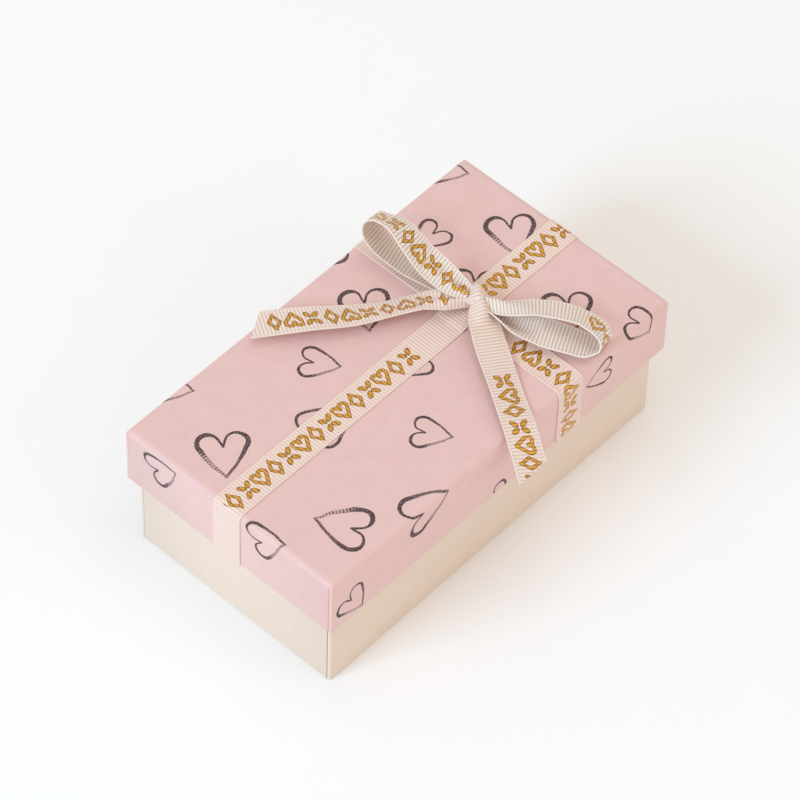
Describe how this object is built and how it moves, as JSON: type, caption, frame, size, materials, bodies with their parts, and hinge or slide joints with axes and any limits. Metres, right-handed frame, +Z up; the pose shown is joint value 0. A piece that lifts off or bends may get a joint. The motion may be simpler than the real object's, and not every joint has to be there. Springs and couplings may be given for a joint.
{
  "type": "jewellery gift box",
  "caption": "Rectangular rigid jewellery gift box: paper-covered tray base, slotted foam insert, and a lift-off lid with crossed ribbons tied in a bow.",
  "frame": {"origin": "centre of the base's underside, where the box stands", "axes": "+X along the box's length, from the long ribbon's plain end towards the bow's end; +Y across the width, towards the back loop; +Z up, the way the lid lifts off"},
  "size_m": [0.1458, 0.0981, 0.0678],
  "materials": {
    "greyboard": "matte",
    "kraft_tape": "matte",
    "cream_paper": "satin",
    "pink_paper": "satin",
    "white_paper": "matte",
    "foam": "matte",
    "velvet": "matte",
    "grosgrain": "matte"
  },
  "bodies": {
    "base": {"base_board": "greyboard", "base_corner_tapes": "kraft_tape", "base_wrap": "cream_paper", "base_lining": "white_paper"},
    "insert": {"insert_foam": "foam", "insert_velvet": "velvet"},
    "lid": {"lid_board": "greyboard", "lid_corner_tapes": "kraft_tape", "lid_wrap": "pink_paper", "lid_lining": "white_paper", "ribbon_length": "grosgrain", "ribbon_cross": "grosgrain", "bow_knot": "grosgrain", "bow_loop_back": "grosgrain", "bow_loop_right": "grosgrain", "bow_tail_left": "grosgrain", "bow_tail_front": "grosgrain"}
  },
  "joints": [
    {"name": "lid_lift", "type": "slide", "parent": "base", "child": "lid", "axis": [0, 0, 1], "range_m": [0, 0.12]},
    {"name": "insert_lift", "type": "slide", "parent": "base", "child": "insert", "axis": [0, 0, 1], "range_m": [0, 0.06]}
  ],
  "couplings": [
    {"joint": "insert_lift", "follows": "lid_lift", "ratio": 0.5}
  ]
}
